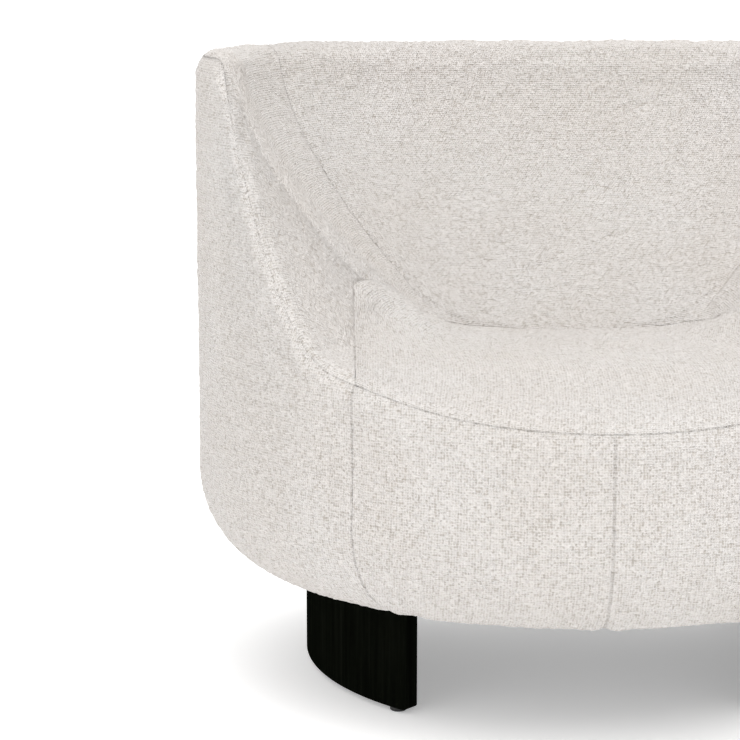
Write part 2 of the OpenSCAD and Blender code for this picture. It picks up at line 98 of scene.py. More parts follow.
def rise_over(v, start, end):
    """From 0 at start to 1 at end; start may be the higher."""
    return np.clip((v - start) / (end - start), 0, 1)


def plan(t, inset):
    """Points of the plan."""
    s, c = np.sin(np.radians(t)), np.cos(np.radians(t))
    rear = c < 0
    p = np.where(rear, REAR_SQUARE, 1.0)
    deep = np.where(rear, REAR, FRONT) - inset
    return (HALF_W - inset) * spow(s, p), -deep * spow(c, p)


def wall(z):
    """Thickness of the wall at height z, along the sides and back."""
    return RIM_W + BOWL_K * np.maximum(0, RIM_Z - z) ** BOWL_P


def seat_z(x, y):
    """Height of the seat: crowned, falling to its rear crease, dished sideways."""
    along = np.clip((y + FRONT) / SEAT_DEPTH * RISE_RATE, 0, 1)
    fall = FALL * (1 - np.cos(np.radians(90 * np.clip(y / FALL_RUN, 0, 1))))
    return SEAT_H + RISE * np.sin(np.radians(90 * along)) + SEAT_DISH * x * x - fall


def sweep_angle(z):
    """The angle at which the arm's sweep is at height z."""
    rise = np.clip((z - SWEEP_Z) / (HEIGHT - SWEEP_Z), 0, 1)
    high = SWEEP_FROM + (SWEEP_TO - SWEEP_FROM) * rise ** (1 / SWEEP_P)
    return np.where(z < SWEEP_Z, SWEEP_FROM - (SWEEP_Z - z) / 2, high)


def wall_at(t, z):
    """The wall's thickness, which grows from nothing at the arm's sweep."""
    a = sweep_angle(z)
    x = np.clip((fold(t) - a) / (SWEEP_END - a), 0, 1)
    return wall(z) * (1 - (1 - x) ** WEDGE_P)


def wall_z(t, inset):
    """Height of the wall's inner face at an inset, found by halving."""
    low, high = np.full(np.shape(t), 300.0), np.full(np.shape(t), HEIGHT)
    for _ in range(22):
        z = (low + high) / 2
        inside = wall_at(t, z) > inset
        low, high = np.where(inside, z, low), np.where(inside, high, z)
    return (low + high) / 2


def inner_drop(t, inset):
    """How far the rounded inner edge of the wall's top is below it."""
    band = wall_at(t, np.full(np.shape(t), HEIGHT))
    r = np.maximum(np.minimum(RIM_R, band / 2), 0.1)
    x = np.clip((inset - band + r) / r, 0, 1)
    drop = RIM_R * (1 - np.sqrt(1 - x * x))
    return np.where((r < 1) | (inset > band), 0, drop)


def blend(t, inset):
    """How softly the seat runs into the arm: most in the bowl, least at the crest and the back."""
    rise = rise_over(inset, *BLEND_IN)
    along = rise_over(fold(t), *BLEND_FRONT) * rise_over(fold(t), *BLEND_REAR[::-1])
    fade = rise_over(inset, *BLEND_OUT[::-1])
    return BLEND_LEAST + BLEND_MORE * rise * rise * (3 - 2 * rise) * fade * along


def top_level(t, inset):
    """Height of the seat or wall before its outer edge is rounded."""
    x, y = plan(t, inset)
    a, b = seat_z(x, y), wall_z(t, inset) - inner_drop(t, inset)
    return (a + b + np.sqrt((a - b) ** 2 + blend(t, inset) ** 2)) / 2


def locate(x, y):
    """The angle and inset of points of the plan."""
    low, high = np.zeros(np.shape(x)), np.full(np.shape(x), REAR - 1.0)
    for _ in range(30):
        i = (low + high) / 2
        power = np.where(y > 0, 2 / REAR_SQUARE, 2.0)
        a = (np.abs(x) / (HALF_W - i)) ** power
        b = (np.abs(y) / np.where(y > 0, REAR - i, FRONT - i)) ** power
        inside = a + b < 1
        low, high = np.where(inside, i, low), np.where(inside, high, i)
    i = (low + high) / 2
    k = np.where(y > 0, 1 / REAR_SQUARE, 1.0)
    sx = spow(x / (HALF_W - i), k)
    cy = -spow(y / np.where(y > 0, REAR - i, FRONT - i), k)
    return np.degrees(np.arctan2(sx, cy)), i


def join(t):
    """The inset where the seat meets the arms and the back."""
    a = fold(t)
    seam_x = (HALF_W - CREST_IN) * math.sin(math.radians(SEAT_SEAM))
    straight = HALF_W - seam_x / np.sin(np.radians(np.clip(a, SEAT_SEAM, TURN)))
    k = np.sin(np.radians(90 * rise_over(a, TURN, CORNER)))
    arm = straight + (SIDE_JOIN - straight) * k
    k = (1 - np.cos(np.radians(rise_over(a, CORNER, 180) * 180))) / 2
    return np.maximum(0, arm + (BACK_JOIN - SIDE_JOIN) * k)


# ---- grids of points over the body -------------------------------------------------------------
def resample(line, n):
    """n + 1 points at equal steps along each polyline of an array (lines, points, 3)."""
    step = np.linalg.norm(np.diff(line, axis=1), axis=2)
    run = np.concatenate([np.zeros((len(line), 1)), np.cumsum(step, 1)], 1)
    out = np.empty((len(line), n + 1, 3))
    for i, (pts, s) in enumerate(zip(line, run)):
        at = np.linspace(0, s[-1], n + 1)
        for k in range(3):
            out[i, :, k] = np.interp(at, s, pts[:, k])
    return out


def crest_round(t, angles):
    """Points on the rounded outer edge, for each t (rows) and angle (columns)."""
    tt = np.repeat(np.asarray(t, float)[:, None], len(angles), 1)
    a = np.radians(angles)[None, :]
    inset = RIM_R * (1 - np.cos(a)) + 0 * tt
    z = top_level(tt, inset) - RIM_R * (1 - np.sin(a))
    x, y = plan(tt, inset)
    return np.stack([x, y, z], 2)


def outer_lines(t):
    """From the fold under the body up the outer wall to the seam on the top edge."""
    n = len(t)
    lap = [(EDGE_IN + k, UNDER) for k in LAP]
    bend = [(EDGE_IN - EDGE_IN * math.sin(a), UNDER + EDGE_UP * (1 - math.cos(a)))
            for a in np.linspace(0, math.pi / 2, 30)]
    top = crest_round(t, np.linspace(0, CREST_ANGLE, 12))
    rows = []
    for inset, z in lap + bend:
        x, y = plan(t, np.full(n, float(inset)))
        rows.append(np.stack([x, y, np.full(n, z)], 1))
    low = rows[-1][:, 2]
    x, y = plan(t, np.zeros(n))
    for k in np.linspace(0, 1, 24)[1:-1]:
        z = low + (top[:, 0, 2] - low) * k
        shrink = 1 - DRAWN_IN * np.sin(np.pi * k) / np.hypot(x, y)
        rows.append(np.stack([x * shrink, y * shrink, z], 1))
    return np.concatenate([np.stack(rows, 1), top], 1)


def top_lines(t):
    """From the seam on the top edge inwards to where the seat begins."""
    edge = crest_round(t, np.linspace(CREST_ANGLE, 90, 10))
    last = np.maximum(join(t), RIM_R + 1.0)
    k = np.linspace(0, 1, 160)[1:]
    inset = RIM_R + (last[:, None] - RIM_R) * k[None, :] ** 1.4
    tt = np.repeat(np.asarray(t, float)[:, None], len(k), 1)
    x, y = plan(tt, inset)
    line = np.concatenate([edge, np.stack([x, y, top_level(tt, inset)], 2)], 1)
    for i in np.where(join(t) < RIM_R)[0]:                  # the arm's tip narrows to a point
        end = max(join(t[i]), TIP_IN)
        a = np.degrees(np.arccos(1 - min(end, RIM_R) / RIM_R))
        tip = crest_round(t[i:i + 1], np.linspace(CREST_ANGLE, max(a, CREST_ANGLE + 1), 40))
        line[i] = resample(tip, line.shape[1] - 1)[0]
    return line


def even_angles(t1, t2):
    """Angles that split part of the body's outline into equal cells."""
    t = np.linspace(t1, t2, 400)
    x, y = plan(t, np.full(len(t), MEASURED_IN))
    run = np.concatenate([[0], np.cumsum(np.hypot(np.diff(x), np.diff(y)))])
    return np.interp(np.linspace(0, run[-1], four(run[-1] / CELL) + 1), run, t)


def relax(p, times):
    """Evens out small kinks in a grid, and leaves its border where it is."""
    for _ in range(times):
        q = p.copy()
        q[1:-1, 1:-1] = (p[:-2, 1:-1] + p[2:, 1:-1] + p[1:-1, :-2] + p[1:-1, 2:]) / 4
        p = (p + q) / 2
    return p


def flat_line(t, inset, n):
    """n + 1 points at equal steps along a line of the plan, at height 0."""
    x, y = plan(t, inset)
    return resample(np.stack([x, y, 0 * x], 1)[None], n)[0]


def seat_grid(nu, nv):
    """The seat: a patch between its front edge, its back crease and its two sides."""
    front_t = np.linspace(-SEAT_SEAM, SEAT_SEAM, 200)
    tip = np.clip((np.abs(front_t) - SEAT_SEAM + TIP_RUN) / TIP_RUN, 0, 1)
    front = flat_line(front_t, CREST_IN + (TIP_IN - CREST_IN) * tip, nu)
    back_t = np.linspace(360 - CORNER, CORNER, 300)
    back = flat_line(back_t, join(back_t), nu)
    side_t = np.linspace(SEAT_SEAM, CORNER, 300)
    right = flat_line(side_t, np.maximum(join(side_t), TIP_IN), nv)
    left = right * [-1, 1, 1]
    u, v = np.meshgrid(np.linspace(0, 1, nu + 1), np.linspace(0, 1, nv + 1), indexing="ij")
    u, v = u[..., None], v[..., None]
    pts = ((1 - v) * front[:, None] + v * back[:, None]
           + (1 - u) * left[None] + u * right[None]
           - (1 - u) * (1 - v) * front[0] - u * (1 - v) * front[-1]
           - (1 - u) * v * back[0] - u * v * back[-1])
    x, y = pts[..., 0], pts[..., 1]
    t, inset = locate(x, y)
    near = np.clip(inset, 0, RIM_R)
    z = top_level(t, inset) - (RIM_R - np.sqrt(RIM_R ** 2 - (RIM_R - near) ** 2))
    return np.stack([x, y, z], 2)


def shell_grid():
    """The walls from one front seam round the back to the other: outside, crest and inside.

    Returns the grid, the columns where its seams are, and the row of the seam on the crest."""
    stops = [SEAT_SEAM, BACK_SEAM, CORNER_SEAM]
    stops += [360 - t for t in stops[::-1]]
    parts = [even_angles(a, b) for a, b in zip(stops, stops[1:])]
    cuts = np.cumsum([0] + [len(p) - 1 for p in parts])
    t = np.concatenate([parts[0]] + [p[1:] for p in parts[1:]])
    outside = resample(outer_lines(t), four(OUTER_RUN / CELL))
    inside = resample(top_lines(t), four(INNER_RUN / CELL))
    whole = np.concatenate([relax(outside, WALL_EVENING), relax(inside, WALL_EVENING)[:, 1:]], 1)
    return whole, cuts, outside.shape[1] - 1


def runs(p):
    """Distance along the surface from each of a grid's four edges."""
    u = np.linalg.norm(np.diff(p, axis=0), axis=2)
    v = np.linalg.norm(np.diff(p, axis=1), axis=2)
    u = np.concatenate([np.zeros((1, p.shape[1])), np.cumsum(u, 0)])
    v = np.concatenate([np.zeros((p.shape[0], 1)), np.cumsum(v, 1)], 1)
    return u, u[-1] - u, v, v[:, -1:] - v


def normals(p):
    """Unit normals of a grid, evened out so that wide cells outweigh thin ones."""
    du, dv = np.gradient(p, axis=0), np.gradient(p, axis=1)
    n = np.cross(du, dv)
    for _ in range(8):
        for k in (0, 1):
            before, after = np.roll(n, 1, k), np.roll(n, -1, k)
            ends = [slice(None), slice(None)]
            ends[k] = 0
            before[tuple(ends)] = n[tuple(ends)]
            ends[k] = -1
            after[tuple(ends)] = n[tuple(ends)]
            n = (2 * n + before + after) / 4
    return n / np.maximum(np.linalg.norm(n, axis=2, keepdims=True), 1e-9)


def height_normals(p):
    """Normals of the seat, from the slope of its height over the plan."""
    step = 3.0
    slopes = []
    for d in ((step, 0), (0, step)):
        high = top_level(*locate(p[..., 0] + d[0], p[..., 1] + d[1]))
        low = top_level(*locate(p[..., 0] - d[0], p[..., 1] - d[1]))
        slopes.append((high - low) / (2 * step))
    n = np.stack([-slopes[0], -slopes[1], np.ones(p.shape[:2])], 2)
    inset = locate(p[..., 0], p[..., 1])[1]
    lean = np.clip(1 - inset / RIM_R, 0, 0.97)              # the rounded front edge
    out = p * [1, HALF_W / FRONT, 0]
    out /= np.maximum(np.linalg.norm(out, axis=2, keepdims=True), 1e-9)
    n += out * (lean / np.sqrt(1 - lean ** 2))[..., None]
    return n / np.linalg.norm(n, axis=2, keepdims=True)


def inward(p):
    """Unit vectors along the surface, from the border to the middle."""
    u = np.zeros_like(p)
    u[0] += p[1] - p[0]
    u[-1] += p[-2] - p[-1]
    u[:, 0] += p[:, 1] - p[:, 0]
    u[:, -1] += p[:, -2] - p[:, -1]
    return u / np.maximum(np.linalg.norm(u, axis=2, keepdims=True), 1e-9)


def upsample(coarse, shape):
    """A coarse grid of vectors, spread smoothly over the fine grid by Catmull-Rom curves."""
    out = coarse
    for axis in (0, 1):
        n, m = out.shape[axis], shape[axis]
        at = np.linspace(0, n - 1, m)
        i = np.clip(at.astype(int), 0, n - 2)
        f = at - i
        g = [np.take(out, np.clip(i + o, 0, n - 1), axis=axis) for o in (-1, 0, 1, 2)]
        f = f.reshape([-1 if a == axis else 1 for a in range(out.ndim)])
        out = 0.5 * (2 * g[1] + (g[2] - g[0]) * f + (2 * g[0] - 5 * g[1] + 4 * g[2] - g[3]) * f ** 2
                     + (3 * g[1] - g[0] - 3 * g[2] + g[3]) * f ** 3)
    return out


def lumps(p, size, seed):
    """Smooth lumps of a size in mm, from -1 to 1, at points of space, from hashed whole numbers."""
    q = p / size + seed * 17.31
    i = np.floor(q).astype(np.int64)
    f = q - i
    f = f * f * (3 - 2 * f)
    total = np.zeros(p.shape[:-1])
    for c in range(8):
        o = np.array([c & 1, c >> 1 & 1, c >> 2 & 1])
        k = i + o
        h = (k[..., 0] * 73856093) ^ (k[..., 1] * 19349663) ^ (k[..., 2] * 83492791)
        h = (h ^ (h >> 13)) * 1274126177 & 0x7FFFFFFF
        w = np.prod(np.where(o == 1, f, 1 - f), axis=-1)
        total += w * ((h ^ (h >> 16)) % 65536 / 32767.5 - 1)
    return total


# ---- meshes ------------------------------------------------------------------------------------
def mm(p):
    """Millimetres about the plan's centre to metres in the CAD frame."""
    return (np.asarray(p, float).reshape(-1, 3) + [0, CENTRE_Y, 0]) / 1000


def to_mesh(name, verts, faces):
    """A new object of those points, in metres, and faces."""
    me = bpy.data.meshes.new(name)
    me.from_pydata([tuple(v) for v in verts], [], faces)
    me.update()
    o = bpy.data.objects.new(name, me)
    bpy.context.scene.collection.objects.link(o)
    return o


def grid_faces(nu, nv):
    """Faces of a grid whose points are numbered row by row."""
    row = nv + 1
    return [(i * row + j, (i + 1) * row + j, (i + 1) * row + j + 1, i * row + j + 1)
            for i in range(nu) for j in range(nv)]


def ring(nu, nv):
    """Rows and columns of a grid's border, once round."""
    return ([(i, 0) for i in range(nu)] + [(nu, j) for j in range(nv)]
            + [(i, nv) for i in range(nu, 0, -1)] + [(0, j) for j in range(nv, 0, -1)])


def ring_points(nu, nv):
    """The numbers of the points of a grid's border, once round."""
    return [i * (nv + 1) + j for i, j in ring(nu, nv)]


def flipped(faces, first=0):
    """The faces seen from the other side, with their points numbered from first."""
    return [tuple(first + k for k in f[::-1]) for f in faces]


# ---- padded panels -----------------------------------------------------------------------------
THIN, THIN_RUN = 0.15, 110.0   # share of a pad's depth at its seams, and how slowly it deepens
START_UNDER = 2.0        # the simulated cloth starts this far under the surface, mm
PRESSURE, FRAMES = 4.0, 20
SLIDE, SINK = 1.5, 0.4   # furthest that the cloth may slide a point and push it in, mm
LIFT = 0.8               # furthest that it may lift one, as a share of the panel's swell
SWELL_RUN, SEAM_REACH = 45.0, 3.0   # the swell grows and a seam's groove fades over these, mm
RIPPLE, RIPPLE_H, RIPPLE_AT, RIPPLE_RUN = 26.0, 1.2, 16.0, 14.0   # gathers beside the seams, mm
WAVE, WAVE_H = 70.0, 1.2                                 # slow waves of the stuffing, mm
LOOP, LOOP_H, KNOT, KNOT_H = 6.0, 1.3, 10.5, 0.6         # the loops of the boucle, mm
SEED = 10
FAR = 1000.0             # an edge this much further away, in mm, leaves no mark
SLIM = 15.0              # a panel with less room than this, in mm, is calmer
MIRROR = [-1, 1, 1]
LAP_EDGE = (2,)          # the edge with no seam, only the fold under the body, as runs() counts


def edge_room(p):
    """How far a panel's edge may be drawn inwards at each point, in mm."""
    u, u2, v, v2 = runs(p)
    return (np.minimum(u + u2, v + v2) * 0.3)[..., None]


def thickness(p, depth):
    """A pad's depth at each point: it thins towards its sewn edges."""
    d = np.minimum.reduce(runs(p))
    return (depth * np.clip(THIN + d / THIN_RUN, THIN, 1))[..., None]


def back_sheet(spec):
    """The hidden back of a pad, on its coarse grid."""
    p, n = spec["coarse"], spec["coarse_n"]
    deep = thickness(p, spec["depth"])
    back = p - n * deep + inward(p) * np.minimum(deep * 0.5, edge_room(p))
    if spec["flat"] is not None:
        back[1:-1, 1:-1, 2] = spec["flat"]
    return back


def make_spec(fine, n, depth, swell, groove, flat=None, unsewn=()):
    """A panel: its grid and normals, its depth, swell and seam groove in mm, and a level back."""
    coarse = fine[::STRIDE, ::STRIDE]
    return {"fine": fine, "fine_n": n, "coarse": coarse, "coarse_n": n[::STRIDE, ::STRIDE],
            "depth": depth, "swell": swell, "groove": groove, "flat": flat, "unsewn": unsewn,
            "move": np.zeros_like(coarse)}


def cloth_object(name, spec):
    """A closed coarse form of a panel with cloth on its front; its border and back are pinned."""
    p, n = spec["coarse"], spec["coarse_n"]
    nu, nv = p.shape[0] - 1, p.shape[1] - 1
    start = mm(p - n * START_UNDER)
    count = len(start)
    border = ring_points(nu, nv)
    faces = grid_faces(nu, nv)
    faces += flipped(faces, count)
    faces += [(b, a, a + count, b + count) for a, b in zip(border, border[1:] + border[:1])]
    o = to_mesh("sim_" + name, np.concatenate([start, mm(back_sheet(spec))]), faces)
    pin = o.vertex_groups.new(name="pin")
    pin.add(sorted(set(border)) + list(range(count, 2 * count)), 1.0, "ADD")
    cloth = o.modifiers.new("Cloth", "CLOTH")
    s = cloth.settings
    s.vertex_group_mass = "pin"
    s.use_pressure = True
    s.uniform_pressure_force = PRESSURE
    s.effector_weights.gravity = 0
    s.quality = 4
    s.mass = 0.25
    s.tension_stiffness = s.compression_stiffness = 12
    s.bending_stiffness = 0.4
    s.shrink_min = -0.012                                    # a little spare cloth, for soft ripples
    cloth.collision_settings.use_collision = False
    cloth.point_cache.frame_start, cloth.point_cache.frame_end = 1, FRAMES
    return o, start


def simulate(panels):
    """Inflates every panel's coarse form with cloth at once, and keeps how far each point went."""
    made = [(spec, *cloth_object(name, spec)) for name, spec in panels.items()]
    for f in range(1, FRAMES + 1):
        bpy.context.scene.frame_set(f)
    graph = bpy.context.evaluated_depsgraph_get()
    for spec, o, start in made:
        me = o.evaluated_get(graph).to_mesh()
        co = np.empty(len(me.vertices) * 3)
        me.vertices.foreach_get("co", co)
        move = ((co.reshape(-1, 3)[:len(start)] - start) * 1000).reshape(spec["coarse"].shape)
        n = spec["coarse_n"]
        lift = np.sum(move * n, 2, keepdims=True)
        slide = move - n * lift
        far = np.linalg.norm(slide, axis=2, keepdims=True)
        slide *= np.minimum(1, SLIDE / np.maximum(far, 1e-6))
        spec["move"] = slide + n * np.clip(lift, -SINK, spec["swell"] * LIFT)
        bpy.data.objects.remove(o)
    bpy.context.scene.frame_set(1)


def surface(spec, mirrored):
    """A panel's outside: swollen and simulated, then rippled, looped and sewn down at its seams."""
    p, n = spec["fine"], spec["fine_n"]
    d = np.minimum.reduce([e + FAR * (k in spec["unsewn"]) for k, e in enumerate(runs(p))])
    swell = n * spec["swell"] * (1 - np.exp(-d / SWELL_RUN))[..., None]
    p = p + upsample(spec["move"], p.shape) + swell
    slim = np.clip(edge_room(p)[..., 0] / SLIM, 0.1, 1)
    groove = spec["groove"] * slim * np.exp(-(d / SEAM_REACH) ** 1.5)
    place = p * MIRROR if mirrored else p                    # so that loops run on across the seams
    ripple = lumps(place, RIPPLE, SEED + 1) * np.exp(-((d - RIPPLE_AT) / RIPPLE_RUN) ** 2) * RIPPLE_H
    wave = lumps(place, WAVE, SEED + 2) * WAVE_H
    loops = lumps(place, LOOP, SEED + 3) * LOOP_H + lumps(place, KNOT, SEED + 4) * KNOT_H
    calm = np.clip(d / 10, 0, 1)
    relief = slim * (calm * (ripple + wave) + loops * np.clip(d / 5, 0.3, 1)) - groove
    return p + n * relief[..., None]


def panel_mesh(name, spec, mirrored):
    """A closed panel: its outside, its sides drawn in under the seams, and a coarse back."""
    base, n = spec["fine"], spec["fine_n"]
    nu, nv = base.shape[0] - 1, base.shape[1] - 1
    p = surface(spec, mirrored)
    verts, faces = [p.reshape(-1, 3)], grid_faces(nu, nv)
    count = (nu + 1) * (nv + 1)
    i, j = np.array(ring(nu, nv)).T
    border = ring_points(nu, nv)
    m = len(border)
    into, deep, most = inward(base)[i, j], thickness(base, spec["depth"])[i, j], edge_room(base)[i, j]
    for part in (0.3, 0.7):                                  # down the side in two steps
        verts.append(p[i, j] - n[i, j] * deep * part + into * np.minimum(deep * part * 0.2, most))
        under = list(range(count, count + m))
        faces += [(border[(k + 1) % m], border[k], under[k], under[(k + 1) % m]) for k in range(m)]
        border, count = under, count + m
    back = back_sheet(spec)
    bu, bv = back.shape[0] - 1, back.shape[1] - 1
    verts.append(back.reshape(-1, 3))
    faces += flipped(grid_faces(bu, bv), count)
    back_border = [count + k for k in ring_points(bu, bv)]
    for k, a in enumerate(back_border):
        b = back_border[(k + 1) % len(back_border)]
        faces.append(tuple([border[(k * STRIDE + s) % m] for s in range(STRIDE, -1, -1)] + [a, b]))
    verts = np.concatenate(verts)
    if mirrored:
        verts, faces = verts * MIRROR, flipped(faces)
    o = to_mesh(name, mm(verts), faces)
    lay_cloth(o, base, len(verts))
    o.data.polygons.foreach_set("use_smooth", [True] * len(o.data.polygons))
    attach(o, "root")
    return o


def lay_cloth(o, base, points):
    """UVs in metres along the two ways of the cloth; the hidden sides and back have none."""
    edges = runs(base)
    flat = np.zeros((points, 2))
    flat[:base.shape[0] * base.shape[1], 0] = edges[0].reshape(-1) / 1000
    flat[:base.shape[0] * base.shape[1], 1] = edges[2].reshape(-1) / 1000
    index = np.empty(len(o.data.loops), int)
    o.data.loops.foreach_get("vertex_index", index)
    o.data.uv_layers.new(name="cloth").data.foreach_set("uv", flat[index].reshape(-1))


shell, cuts, crest_row = shell_grid()
shell_n = normals(shell)
seat = relax(seat_grid(four(SEAT_ACROSS / CELL), four(SEAT_ALONG / CELL)), SEAT_EVENING)
front = resample(outer_lines(even_angles(0, SEAT_SEAM)), crest_row)


def wall_panel(first, last, inside, **facts):
    """The part of the walls between two of their seams, inside or outside the crest."""
    rows = slice(cuts[first], cuts[last] + 1)
    lines = slice(crest_row, None) if inside else slice(crest_row + 1)
    return make_spec(shell[rows, lines], shell_n[rows, lines], **facts)


panels = {
    "seat": make_spec(seat, height_normals(seat), depth=26, swell=3.0, groove=0.3, flat=352.0),
    "inside_back": wall_panel(1, 4, True, depth=26, swell=3.0, groove=0.3),
    "arm": wall_panel(0, 1, True, depth=22, swell=2.0, groove=0.3),
    "front": make_spec(front, normals(front), depth=11, swell=1.5, groove=0.4, unsewn=LAP_EDGE),
    "side": wall_panel(0, 2, False, depth=11, swell=2.0, groove=0.3, unsewn=LAP_EDGE),
    "outer_back": wall_panel(2, 3, False, depth=11, swell=2.0, groove=0.6, unsewn=LAP_EDGE),
}
simulate(panels)


# ---- materials ---------------------------------------------------------------------------------
class Mat:
    """A node material, with short calls for adding and joining nodes."""

    def __init__(self, name, rough, **sockets):
        self.m = bpy.data.materials.new(name)
        self.m.use_nodes = True
        self.nt = self.m.node_tree
        self.bsdf = self.nt.nodes["Principled BSDF"]
        self.bsdf.inputs["Roughness"].default_value = rough
        for key, value in sockets.items():
            self.bsdf.inputs[key.replace("_", " ")].default_value = value

    def add(self, kind, links=(), **values):
        n = self.nt.nodes.new("ShaderNode" + kind)
        for key, value in values.items():
            if hasattr(n, key):
                setattr(n, key, value)
            else:
                n.inputs[key.replace("_", " ")].default_value = value
        for socket, source in dict(links).items():
            self.nt.links.new(source, n.inputs[socket])
        return n

    def coords(self, kind="Object", scale=(1, 1, 1)):
        if kind == "UV":
            source = self.add("UVMap", uv_map="cloth").outputs["UV"]
        else:
            source = self.add("TexCoord").outputs["Object"]
        return self.add("Mapping", {"Vector": source}, Scale=scale).outputs["Vector"]

    def noise(self, vector, scale, detail=2.0, distortion=0.0):
        return self.add("TexNoise", {"Vector": vector}, Scale=scale, Detail=detail,
                        Distortion=distortion).outputs["Fac"]

    def math(self, operation, a, b=None, value=0.0):
        n = self.nt.nodes.new("ShaderNodeMath")
        n.operation = operation
        self.nt.links.new(a, n.inputs[0])
        if b is None:
            n.inputs[1].default_value = value
        else:
            self.nt.links.new(b, n.inputs[1])
        return n.outputs[0]

    def times(self, a, value):
        return self.math("MULTIPLY", a, value=value)

    def ramp(self, fac, stops):
        n = self.nt.nodes.new("ShaderNodeValToRGB")
        while len(n.color_ramp.elements) < len(stops):
            n.color_ramp.elements.new(0.5)
        for e, (at, colour) in zip(n.color_ramp.elements, stops):
            e.position = at
            e.color = (*colour, 1)
        self.nt.links.new(fac, n.inputs["Fac"])
        return n.outputs["Color"]

    def mix(self, fac, a, b, blend="MIX"):
        n = self.nt.nodes.new("ShaderNodeMix")
        n.data_type, n.blend_type = "RGBA", blend
        for socket, source in ((n.inputs["Factor"], fac), (n.inputs["A"], a), (n.inputs["B"], b)):
            if isinstance(source, (int, float)):
                socket.default_value = source
            elif isinstance(source, tuple):
                socket.default_value = (*source, 1)
            else:
                self.nt.links.new(source, socket)
        return n.outputs["Result"]

    def finish(self, colour, height=None, distance=0.001, strength=1.0, rough=None):
        self.nt.links.new(colour, self.bsdf.inputs["Base Color"])
        if height is not None:
            b = self.add("Bump", {"Height": height}, Distance=distance, Strength=strength)
            self.nt.links.new(b.outputs["Normal"], self.bsdf.inputs["Normal"])
        if rough is not None:
            self.nt.links.new(rough, self.bsdf.inputs["Roughness"])
        return self.m


def boucle():
    """Looped cloth: a weave, curls and nubs, with painted shade in the hollows between the loops."""
    m = Mat("boucle", 0.95, Sheen_Weight=0.12, Sheen_Roughness=0.6, Specular_IOR_Level=0.08)
    obj = m.coords()
    split = m.add("SeparateXYZ", {"Vector": m.coords("UV")})
    jitter = m.times(m.noise(obj, 140, 2.0), 6.0)
    across, along = [m.math("SINE", m.math("ADD", m.times(split.outputs[axis], pitch), jitter))
                     for axis, pitch in (("X", 1950.0), ("Y", 2150.0))]
    weave = m.math("ADD", across, along)
    curl = m.add("TexVoronoi", {"Vector": obj}, feature="SMOOTH_F1", Scale=300.0, Smoothness=0.6)
    nub = m.noise(obj, 190, 2.0, 0.8)
    fine = m.noise(obj, 800, 3.0, 1.0)
    height = m.math("ADD", m.times(weave, 0.11), m.times(curl.outputs["Distance"], -0.55))
    height = m.math("ADD", height, m.times(nub, 0.85))
    height = m.math("ADD", height, m.times(fine, 0.3))
    height = m.math("ADD", height, value=0.13)
    # cream colour plus painted shade: the lower the loops' height, the darker, so the hollows between
    # loops carry painted shade
    cloth_tone_and_shade = m.ramp(height, [(0.1, (0.50, 0.46, 0.42)), (0.36, (0.672, 0.641, 0.614)),
                           (0.56, (0.726, 0.697, 0.675)), (1.0, (0.76, 0.738, 0.72))])
    patches = m.ramp(m.noise(obj, 7, 3.0), [(0.3, (0.97, 0.955, 0.94)), (0.7, (1.0, 1.0, 1.0))])
    return m.finish(m.mix(1.0, cloth_tone_and_shade, patches, "MULTIPLY"), height, 0.0030, 1.0)


def black_wood():
    m = Mat("black_stained_wood", 0.6, Specular_IOR_Level=0.0)
    grain = m.coords(scale=(60, 60, 2.2))
    streak = m.noise(grain, 3.2, 6.0, 0.6)
    pores = m.noise(m.coords(scale=(420, 420, 9)), 1.6, 3.0)
    colour = m.ramp(streak, [(0.25, (0.0012, 0.0014, 0.0010)), (0.55, (0.0030, 0.0036, 0.0024)),
                             (0.85, (0.0065, 0.0072, 0.0055))])
    height = m.math("ADD", m.times(streak, 0.5), m.times(pores, 0.5))
    rough = m.math("ADD", m.times(streak, 0.25), value=0.36)
    return m.finish(colour, height, 0.0006, 0.5, rough)


def plywood():
    m = Mat("birch_plywood", 0.7)
    plies = m.add("SeparateXYZ", {"Vector": m.coords()}).outputs["Z"]
    bands = m.math("SINE", m.times(plies, 4200.0))
    streak = m.noise(m.coords(scale=(4, 60, 4)), 5, 5.0, 0.8)
    colour = m.mix(m.times(m.math("ADD", bands, value=1.0), 0.12),
                   m.ramp(streak, [(0.3, (0.55, 0.38, 0.21)), (0.7, (0.72, 0.55, 0.35))]),
                   (0.42, 0.27, 0.14))
    return m.finish(colour, streak, 0.0004, 0.4)


def speckled(name, dark, light, scale, rough, distance=0.0006, strength=0.5):
    """Fine noise between two tones, each given as (place on the ramp, colour)."""
    m = Mat(name, rough)
    n = m.noise(m.coords(), scale, 4.0, 0.5)
    return m.finish(m.ramp(n, [dark, light]), n, distance, strength)


def woven(name, dark, light, pitch):
    m = Mat(name, 0.85)
    split = m.add("SeparateXYZ", {"Vector": m.coords()})
    a, b, c = [m.math("SINE", m.times(split.outputs[axis], 2 * math.pi / pitch)) for axis in "XZY"]
    h = m.math("ADD", m.math("MULTIPLY", a, b), c)
    return m.finish(m.ramp(h, [(0.2, dark), (0.8, light)]), h, 0.0004, 0.6)


def steel():
    m = Mat("zinc_plated_steel", 0.35, Metallic=0.9)
    n = m.noise(m.coords(scale=(1, 1, 6)), 240, 3.0)
    rough = m.math("ADD", m.times(n, 0.25), value=0.22)
    return m.finish(m.ramp(n, [(0.3, (0.42, 0.43, 0.44)), (0.7, (0.62, 0.63, 0.64))]), n,
                    0.0002, 0.3, rough)


